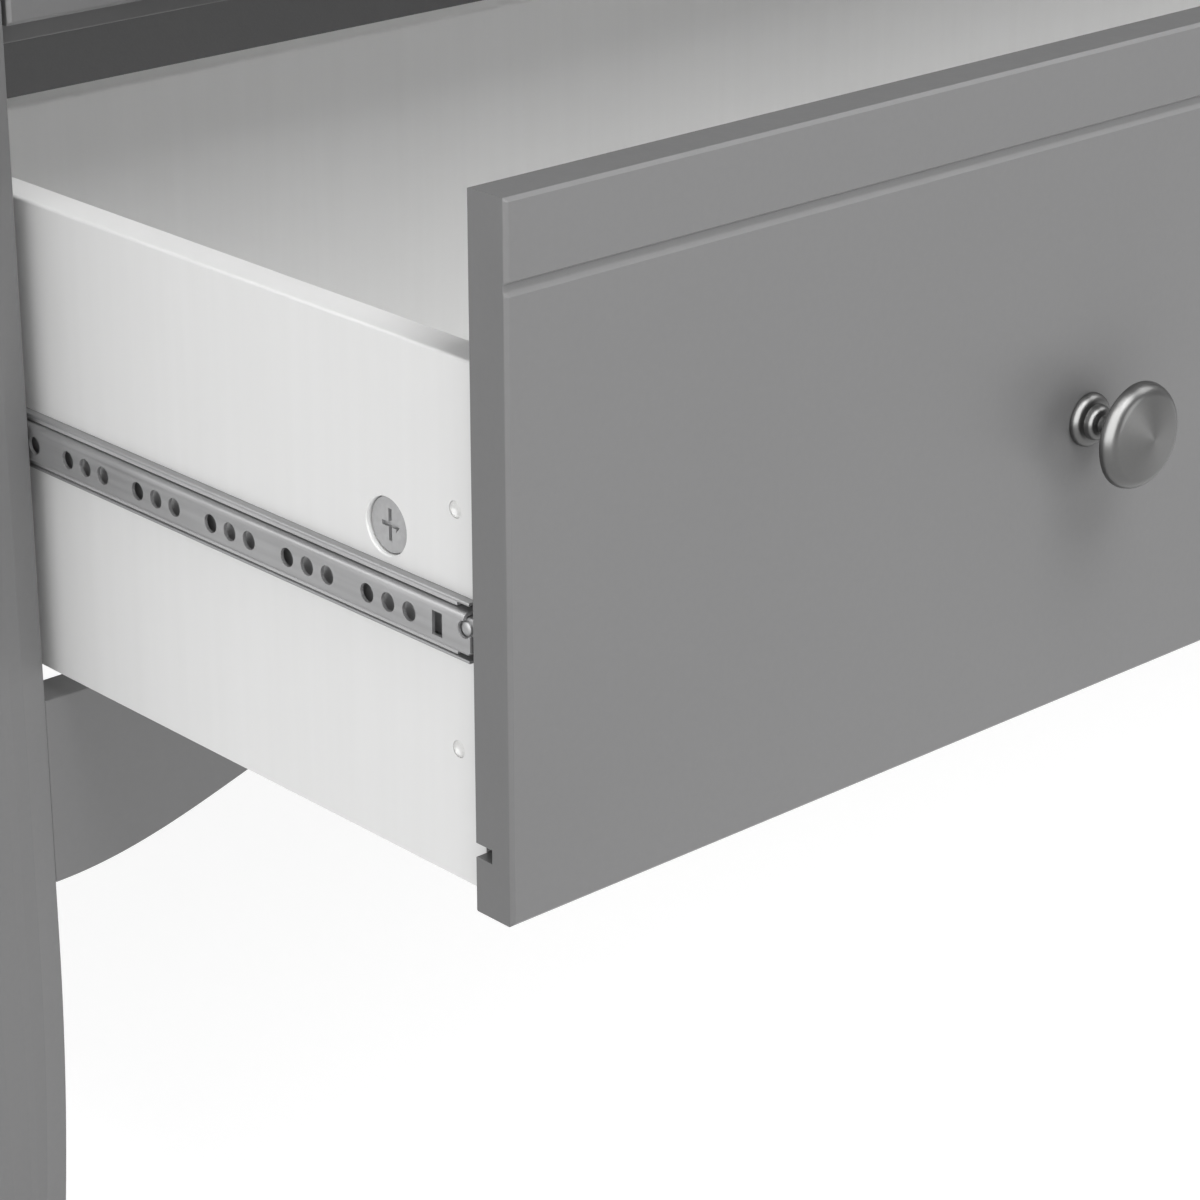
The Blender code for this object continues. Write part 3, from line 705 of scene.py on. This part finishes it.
def make_carriage(level, side, end):
    """The folded rear carriage that links the middle member to the cabinet channel, with its rivets."""
    sign = SIDES[side]
    origin = origin_of(level)
    half = [
        (SLIDER_FACE + 0.0002, 0.0042, 0.0003),
        (0.0060, 0.0042, 0.0005),
        (0.0064, 0.0060, 0.0005),
        (0.0087, 0.0060, 0.0008),
    ]
    outline = runner_outline(side, mirrored(half))
    body = new_object(f"{level}_{side}_carriage", along_y(outline, end - 0.040, end - 0.0003, origin), ZINC)
    bevel(body, 0.0003, 2, 40)
    shade(body, 30)
    place(body, f"{level}_sliders", "zinc_steel")
    profile = [(0.0022, 0.0030), (0.0022, 0.0022), (0.0017, 0.0017), (0.0006, 0.0014)]
    for index, y in enumerate((end - 0.031, end - 0.010)):
        centre = origin + Vector((sign * BOX_HALF_WIDTH, y, RUNNER_HEIGHT))
        rivet = new_object(f"{level}_{side}_rivet_{index + 1}", turned_about_x(profile, 24, centre, sign), CAST)
        shade(rivet, 40)
        place(rivet, f"{level}_sliders", "zinc_steel")


def make_ball_cage(level, side):
    """Two strips with steel balls between the middle member and the drawer channel, and a web behind the slider's
    holes. Their steel is lighter than the zinc steel: painted light that brightens the gaps and holes.
    """
    sign = SIDES[side]
    origin = origin_of(level)
    start, end = SLIDER_START + 0.006, SLIDER_START + SLIDER_LENGTH - 0.012
    sections = [[(-0.0022, 0.0066 * v, 0), (0.0019, 0.0067 * v, 0), (0.0019, 0.0079 * v, 0), (-0.0022, 0.0080 * v, 0)]
                for v in (1, -1)]
    sections.append([(-0.0004, -0.0049, 0), (0.0002, -0.0049, 0), (0.0002, 0.0049, 0), (-0.0004, 0.0049, 0)])
    parts = [along_y(runner_outline(side, section), start, end, origin) for section in sections]
    cage = new_object(f"{level}_{side}_ball_cage", merged(*parts), LIGHTENED_CAGE_STEEL)
    shade(cage, 30)
    place(cage, f"{level}_sliders", "zinc_steel")
    balls = bmesh.new()
    count = 22
    for i in range(count):
        y = start + 0.004 + (end - start - 0.008) * i / (count - 1)
        for v in (0.0071, -0.0071):
            made = bmesh.ops.create_icosphere(balls, subdivisions=2, radius=0.0008)
            where = origin + Vector((sign * (BOX_HALF_WIDTH - 0.0004), y, RUNNER_HEIGHT + v))
            bmesh.ops.translate(balls, verts=made["verts"], vec=where)
    obj = new_object(f"{level}_{side}_balls", balls, ZINC)
    shade(obj, 60)
    place(obj, f"{level}_sliders", "zinc_steel")


def make_cabinet_channel(level, side):
    """The channel on the side panel, with countersunk screws through its back."""
    sign = SIDES[side]
    low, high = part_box(f"{level}_{side}_cabinet_channel")
    centre_z = (low[2] + high[2]) / 2
    back, mouth = RUNNER_SPACE - 0.0003, RUNNER_SPACE - 0.0063
    half = [
        (back, CHANNEL_HALF_HEIGHT, 0.0010),
        (mouth + 0.0010, CHANNEL_HALF_HEIGHT, 0.0009),
        (mouth, 0.0085, 0.0006),
        (mouth, 0.0077, 0.0002),
        (mouth + 0.0010, 0.0077, 0.0002),
        (mouth + 0.0016, 0.0080, 0.0004),
        (back - SHEET_STEEL, 0.0080, 0.0006),
    ]
    points = [(sign * (BOX_HALF_WIDTH + u), centre_z + v) for u, v in fillet(mirrored(half), 4)]
    obj = new_object(f"{level}_{side}_fixed_rail", along_y(points, low[1], high[1]), ZINC)
    bevel(obj, 0.00012, 2, 50)
    shade(obj, 30)
    place(obj, "cabinet", "zinc_steel", f"{level}_{side}_cabinet_channel")
    x = sign * (BOX_HALF_WIDTH + back - SHEET_STEEL)
    profile = [(0.0024, -0.0004), (0.0024, 0.0001), (0.0020, 0.00022), (0.0009, 0.00026), (0.0006, -0.0003)]
    centres = [Vector((x, low[1] + share * (high[1] - low[1]), centre_z)) for share in (0.12, 0.5, 0.88)]
    heads = [turned_about_x(profile, 28, centre, -sign) for centre in centres]
    screws = new_object(f"{level}_{side}_rail_screws", merged(*heads), CAST)
    shade(screws, 40)
    place(screws, "cabinet", "zinc_steel")


# ---- Carcass ----


def leg_section(taper):
    """The leg's outline as (a, b): a out from its inner face, b back from its front face, which has a soft ridge."""
    width, band, depth = LEG_WIDTH, 0.010, 0.0035
    half = [
        (taper, width - taper, 0.0015),
        (taper, depth, 0.0007),
        (taper + band, 0.0004, 0.0006),
        (0.0150 + taper / 2, 0.0004, 0.004),
        (0.0185 + taper / 3, 0.0000, 0.004),
    ]
    other = [(0.0265, 0.0000, 0.004), (0.0300, 0.0004, 0.004), (width - band, 0.0004, 0.0006),
             (width, depth, 0.0007), (width, width - taper, 0.0015)]
    return fillet(half + other, 4)


def make_leg(y_end, side):
    """A post whose foot draws in along a curve."""
    sign = SIDES[side]
    low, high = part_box(f"{y_end}_{side}_leg")
    face_y, inward = (low[1], 1) if y_end == "front" else (high[1], -1)
    heights = [0.0, 0.0006] + [FOOT_TAPER_HEIGHT * (i / 14) for i in range(1, 15)]
    heights += [FOOT_TAPER_HEIGHT + (LEG_TOP - FOOT_TAPER_HEIGHT) * i / 6 for i in range(1, 7)]
    rings = []
    for z in heights:
        taper = FOOT_TAPER * max(0.0, 1 - z / FOOT_TAPER_HEIGHT) ** 2
        shrink = 0.0006 if z == 0 else 0.0
        ring = []
        for a, b in leg_section(taper):
            a += shrink * (1 if a < LEG_WIDTH / 2 else -1)
            b += shrink * (1 if b < LEG_WIDTH / 2 else -1)
            ring.append((sign * (INNER_HALF_WIDTH + a), face_y + inward * b, z))
        rings.append(ring)
    obj = new_object(f"{y_end}_{side}_post", loft(rings), PAINT)
    shade(obj, 14)
    place(obj, "cabinet", "painted_grey", f"{y_end}_{side}_leg")


def make_apron():
    low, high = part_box("front_apron")
    half = high[0] + 0.0004
    curve = []
    steps = 48
    for i in range(steps + 1):
        step = APRON_CURVE_LENGTH * i / steps
        height = APRON_END_HEIGHT - APRON_RISE * (1 - math.cos(math.pi * i / steps)) / 2
        curve.append((half - step, high[2] - height))
    outline = [(-half, high[2]), (half, high[2])] + curve + [(-x, z) for x, z in reversed(curve)]
    obj = new_object("shaped_apron", along_y(outline, low[1], high[1]), PAINT)
    bevel(obj, 0.0006, 3, 40)
    shade(obj, 30)
    place(obj, "cabinet", "painted_grey", "front_apron")


def make_top():
    """The top panel with a moulded edge: a small step over a round."""
    low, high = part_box("top_panel")
    thickness = high[2] - low[2]
    profile = fillet([(0.0030, 0, 0.0008), (0.0, 0.0032, 0.0030), (0.0, thickness - 0.0050, 0.0020),
                      (0.0016, thickness - 0.0042, 0.0006), (0.0022, thickness, 0.0016), (0.030, thickness, 0),
                      (0.030, 0, 0)], 6)
    profile = [p for p in profile if p[0] < 0.029]
    rings = []
    for inset, z in profile:
        ring = [(low[0] + inset, low[1] + inset, low[2] + z), (high[0] - inset, low[1] + inset, low[2] + z),
                (high[0] - inset, high[1] - inset, low[2] + z), (low[0] + inset, high[1] - inset, low[2] + z)]
        rings.append(ring)
    obj = new_object("moulded_top", loft(rings), PAINT)
    shade(obj, 30)
    place(obj, "cabinet", "painted_grey", "top_panel")


def make_tray():
    """The tray's rails with rounded upper edges."""
    for name in ("front", "rear", "left", "right"):
        node = f"tray_{name}_rail"
        low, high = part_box(node)
        # The rail runs along one axis, and its section lies across the other.
        run, across, prism = (0, 1, along_x) if name in ("front", "rear") else (1, 0, along_y)
        radius = 0.0045
        corners = [(low[across], low[2], 0.0006), (high[across], low[2], 0.0006),
                   (high[across], high[2], radius), (low[across], high[2], radius)]
        bm = prism(fillet(corners, 6), low[run], high[run])
        obj = new_object(f"tray_{name}_board", bm, PAINT)
        bevel(obj, 0.0018, 3, 60)
        shade(obj, 30)
        place(obj, "cabinet", "painted_grey", node)


def screw_heads(name, centres, axis_sign, body, slot, radius=0.0035):
    """Countersunk cross-head screws seen from +Y or -Y."""
    profile = [(radius, -0.0010), (radius, 0.0002), (radius * 0.9, 0.0004), (radius * 0.3, 0.0005)]
    heads = [turned_about_y(profile, 28, Vector(centre), axis_sign) for centre in centres]
    obj = new_object(name, merged(*heads), CAST)
    slots = []
    for centre in centres:
        for half_x, half_z in ((radius * 0.6, radius * 0.12), (radius * 0.12, radius * 0.6)):
            ys = sorted((centre[1] + axis_sign * 0.0001, centre[1] + axis_sign * 0.001))
            slots.append(box((centre[0] - half_x, ys[0], centre[2] - half_z),
                             (centre[0] + half_x, ys[1], centre[2] + half_z)))
    for first in range(2):
        carve(obj, merged(*slots[first::2]))
    shade(obj, 40)
    place(obj, body, slot)


def make_back_panel():
    # The back sheet's darker board colour is painted shade for the cavity behind the drawers.
    board("back_sheet", "back_panel", "cabinet", SHADE_DARKENED_HARDBOARD, "painted_grey", 0.0004)
    low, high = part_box("back_panel")
    centres = []
    for z in (0.25, 0.40, 0.55, 0.70):
        for x in (low[0] + 0.012, high[0] - 0.012):
            centres.append((x, high[1], z))
    screw_heads("back_sheet_screws", centres, 1, "cabinet", "zinc_steel", 0.0028)


# ---- The pad ----


def pad_blank(low, high, inset):
    """The pad before it is filled: a rounded slab, a little smaller than its place."""
    centre = (Vector(low) + Vector(high)) / 2
    half_x, half_y = (high[0] - low[0]) / 2 - inset, (high[1] - low[1]) / 2 - inset
    corner = 0.042
    rings = []
    levels = [(0.012, low[2] + 0.001), (0.002, low[2] + 0.010), (0.0, low[2] + 0.020),
              (0.0, high[2] - 0.024), (0.003, high[2] - 0.013), (0.014, high[2] - 0.006)]
    for shrink, z in levels:
        ring = []
        radius = corner - shrink
        for quarter, (sx, sy) in enumerate(((1, 1), (-1, 1), (-1, -1), (1, -1))):
            for step in range(9):
                turn = (quarter + step / 8) * math.pi / 2
                ring.append((centre.x + sx * (half_x - corner) + radius * math.cos(turn),
                             centre.y + sy * (half_y - corner) + radius * math.sin(turn), z))
        rings.append(ring)
    return loft(rings)


def fill_with_cloth(obj, cap):
    """Lets the pad swell as a cloth bag under pressure, holds each point within the cap, and keeps the result."""
    scene = bpy.context.scene
    start = [v.co.copy() for v in obj.data.vertices]
    cloth = obj.modifiers.new("Cloth", "CLOTH")
    settings = cloth.settings
    settings.use_pressure = True
    settings.uniform_pressure_force = 4.0
    settings.effector_weights.gravity = 0
    settings.tension_stiffness = 18
    settings.bending_stiffness = 0.6
    settings.quality = 5
    cloth.point_cache.frame_start = 1
    cloth.point_cache.frame_end = CLOTH_FRAMES
    for number in range(1, CLOTH_FRAMES + 1):
        scene.frame_set(number)
    graph = bpy.context.evaluated_depsgraph_get()
    evaluated = obj.evaluated_get(graph)
    moved = [v.co.copy() for v in evaluated.data.vertices]
    obj.modifiers.clear()
    for vertex, before, after in zip(obj.data.vertices, start, moved):
        step = after - before
        if step.length > cap:
            step = step.normalized() * cap
        vertex.co = before + step
    scene.frame_set(1)


def quilt_depth(x, y, centre):
    """How deep the sewn diamond lines draw the cover in at a point of the top."""
    u = ((x - centre.x) + (y - centre.y)) / math.sqrt(2)
    v = ((x - centre.x) - (y - centre.y)) / math.sqrt(2)
    depth = 0.0
    for value in (u, v):
        away = abs((value / QUILT_PITCH) % 1.0 - 0.5) * QUILT_PITCH
        depth = max(depth, math.exp(-((away / 0.0065) ** 2)))
    return depth


def make_pad():
    low, high = (Vector(corner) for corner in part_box("changing_pad"))
    obj = new_object("quilted_pad", pad_blank(low, high, 0.006), FABRIC)
    remesh = obj.modifiers.new("Remesh", "REMESH")
    remesh.mode = "VOXEL"
    remesh.voxel_size = 0.006
    bake_modifiers(obj)
    fill_with_cloth(obj, 0.010)
    centre = (low + high) / 2
    top = high.z
    inner_x, inner_y = (high.x - low.x) / 2 - 0.030, (high.y - low.y) / 2 - 0.030
    subdivide = obj.modifiers.new("Subdivision", "SUBSURF")
    subdivide.levels = subdivide.render_levels = 1
    bake_modifiers(obj)
    mesh = obj.data
    for vertex in mesh.vertices:
        point = vertex.co
        on_top = min(1.0, max(0.0, (point.z - (top - 0.022)) / 0.010))
        edge = min((inner_x - abs(point.x - centre.x)) / 0.02, (inner_y - abs(point.y - centre.y)) / 0.02)
        inside = min(1.0, max(0.0, edge))
        wrinkle = 0.0008 * noise.noise(point * 34) + 0.0004 * noise.noise(point * 95)
        point.z -= on_top * inside * 0.0048 * quilt_depth(point.x, point.y, centre)
        point.z += on_top * wrinkle
        # The rails and the top panel hold it.
        point.z = min(max(point.z, low.z), high.z + 0.004)
        point.x = min(max(point.x, low.x - 0.003), high.x + 0.003)
        point.y = min(max(point.y, low.y - 0.003), high.y + 0.003)
    mesh.materials.clear()
    mesh.materials.append(FABRIC)
    mesh.shade_smooth()
    place(obj, "cabinet", "pad_cover", "changing_pad")
    make_piping(obj, low, high)


def make_piping(pad, low, high):
    """A corded seam round the pad's upper edge, laid on the filled cover."""
    graph = bpy.context.evaluated_depsgraph_get()
    tree = BVHTree.FromObject(pad, graph)
    centre = (low + high) / 2
    half_x, half_y, corner = (high.x - low.x) / 2, (high.y - low.y) / 2, 0.045
    path = []
    for quarter, (sx, sy) in enumerate(((1, 1), (-1, 1), (-1, -1), (1, -1))):
        for step in range(13):
            turn = (quarter + step / 12) * math.pi / 2
            path.append(Vector((centre.x + sx * (half_x - corner) + corner * math.cos(turn),
                                centre.y + sy * (half_y - corner) + corner * math.sin(turn), 0)))
    dense = []
    for i, point in enumerate(path):
        after = path[(i + 1) % len(path)]
        count = max(1, int((after - point).length / 0.008))
        dense += [point.lerp(after, k / count) for k in range(count)]
    radius, sides = PIPING_RADIUS, 10
    for label, z in (("upper", high.z - 0.010), ("lower", low.z + 0.012)):
        points = []
        for point in dense:
            outward = Vector((point.x - centre.x, point.y - centre.y, 0)).normalized()
            near = Vector((point.x, point.y, z)) + outward * 0.01
            hit, normal, _, _ = tree.find_nearest(near)
            points.append(hit + normal * radius * 0.45)
        for _ in range(3):
            points = [(points[i - 1] + points[i] * 2 + points[(i + 1) % len(points)]) / 4 for i in range(len(points))]
        rings = []
        for i, point in enumerate(points):
            ahead = (points[(i + 1) % len(points)] - points[i - 1]).normalized()
            side_way = ahead.cross(Vector((0, 0, 1))).normalized()
            up_way = side_way.cross(ahead)
            rings.append([point + side_way * radius * math.cos(2 * math.pi * k / sides)
                          + up_way * radius * math.sin(2 * math.pi * k / sides) for k in range(sides)])
        obj = new_object(f"pad_piping_{label}", loft([*rings, rings[0]], capped=False), FABRIC)
        bm = bmesh.new()
        bm.from_mesh(obj.data)
        bmesh.ops.remove_doubles(bm, verts=bm.verts, dist=0.00001)
        bmesh.ops.recalc_face_normals(bm, faces=bm.faces)
        bm.to_mesh(obj.data)
        bm.free()
        obj.data.shade_smooth()
        place(obj, "cabinet", "pad_cover")


# ---- Building ----


def build_drawers():
    for level in LEVELS:
        make_front(level)
        make_back(level)
        board(f"{level}_base_board", f"{level}_drawer_base", f"{level}_drawer", LAMINATE, "white_laminate", 0.0003)
        for side in SIDES:
            make_side(level, side)
            make_knob(level, side)
            make_cam_lock(level, side)
            for index in range(len(CAP_CENTRES)):
                make_cap(level, side, index)
            make_drawer_channel(level, side)
            make_slider(level, side)
            make_ball_cage(level, side)
            make_cabinet_channel(level, side)


def build_carcass():
    for side in SIDES:
        make_leg("front", side)
        make_leg("rear", side)
        board(f"{side}_end_panel", f"{side}_side_panel", "cabinet", PAINT, "painted_grey", 0.0008)
    for name in ("lower_front_rail", "upper_front_rail", "top_front_rail", "rear_lower_rail", "rear_upper_rail"):
        board(f"{name}_board", name, "cabinet", PAINT, "painted_grey", 0.0008)
    make_apron()
    make_top()
    make_tray()
    make_back_panel()
    make_pad()


def build_stage():
    look = Look("pale_floor", (0.30, 0.30, 0.30), 0.9, specular=0.1)
    look.shader.inputs["Emission Color"].default_value = (1, 1, 1, 1)
    look.shader.inputs["Emission Strength"].default_value = 0.84
    look.paint(look.tint(look.noise(2, 2), (0.295, 0.295, 0.295), (0.305, 0.305, 0.305)))
    floor = new_object("floor", along_x([(-6, -0.02), (6, -0.02), (6, 0), (-6, 0)], -6, 6), look.material)


def add_area_light(name, toward, distance, size, radiance, glossy_only=False):
    """A soft box (width, height) that faces the table. One that is glossy_only lights no matt surface."""
    target = Vector((-0.15, -0.20, 0.35))
    light = bpy.data.lights.new(name, "AREA")
    light.shape = "RECTANGLE"
    light.size, light.size_y = size
    light.energy = radiance * math.pi * size[0] * size[1]
    obj = bpy.data.objects.new(name, light)
    obj.location = target + Vector(toward).normalized() * distance
    obj.rotation_euler = (-Vector(toward)).to_track_quat("-Z", "Y").to_euler()
    obj.visible_camera = False
    obj.visible_diffuse = not glossy_only
    bpy.context.scene.collection.objects.link(obj)


def build_light():
    world = bpy.data.worlds.new("studio")
    world.use_nodes = True
    background = world.node_tree.nodes["Background"]
    background.inputs["Color"].default_value = (1, 1, 1, 1)
    background.inputs["Strength"].default_value = 0.62
    # The backdrop itself is seen as white, like the floor.
    nodes, links = world.node_tree.nodes, world.node_tree.links
    backdrop = nodes.new("ShaderNodeBackground")
    mix = nodes.new("ShaderNodeMixShader")
    links.new(nodes.new("ShaderNodeLightPath").outputs["Is Camera Ray"], mix.inputs["Fac"])
    links.new(background.outputs["Background"], mix.inputs[1])
    links.new(backdrop.outputs["Background"], mix.inputs[2])
    links.new(mix.outputs["Shader"], nodes["World Output"].inputs["Surface"])
    backdrop.inputs["Color"].default_value = (1, 1, 1, 1)
    bpy.context.scene.world = world
    add_area_light("key", (-0.06, -0.56, 0.83), 3.0, (1.6, 1.6), 7.6)
    add_area_light("front", (0.33, -0.94, 0.10), 2.6, (1.2, 1.2), 3.1)
    add_area_light("side", (-0.92, -0.28, 0.36), 1.8, (3.4, 2.6), 6.4, glossy_only=True)
    add_area_light("over", (-0.30, -0.25, 0.92), 2.2, (1.4, 1.4), 4.0, glossy_only=True)
    add_area_light("rim", (-0.36, 0.68, 0.60), 2.6, (1.8, 1.4), 3.6, glossy_only=True)
    add_area_light("edge", (0.62, -0.38, 0.68), 2.6, (1.4, 1.4), 4.0, glossy_only=True)
    settings = bpy.context.scene.view_settings
    settings.view_transform = "Standard"
    settings.look = "None"


def build_camera():
    camera = bpy.data.cameras.new("camera")
    camera.sensor_width = 36
    camera.lens = 111
    obj = bpy.data.objects.new("camera", camera)
    obj.location = (-1.0032, -1.0117, 0.6791)
    heading, drop = math.radians(42.487), math.radians(22.435)
    forward = Vector((math.sin(heading) * math.cos(drop), math.cos(heading) * math.cos(drop), -math.sin(drop)))
    obj.rotation_euler = forward.to_track_quat("-Z", "Y").to_euler()
    bpy.context.scene.collection.objects.link(obj)
    bpy.context.scene.camera = obj


build_camera()
build_drawers()
build_carcass()
build_stage()
build_light()
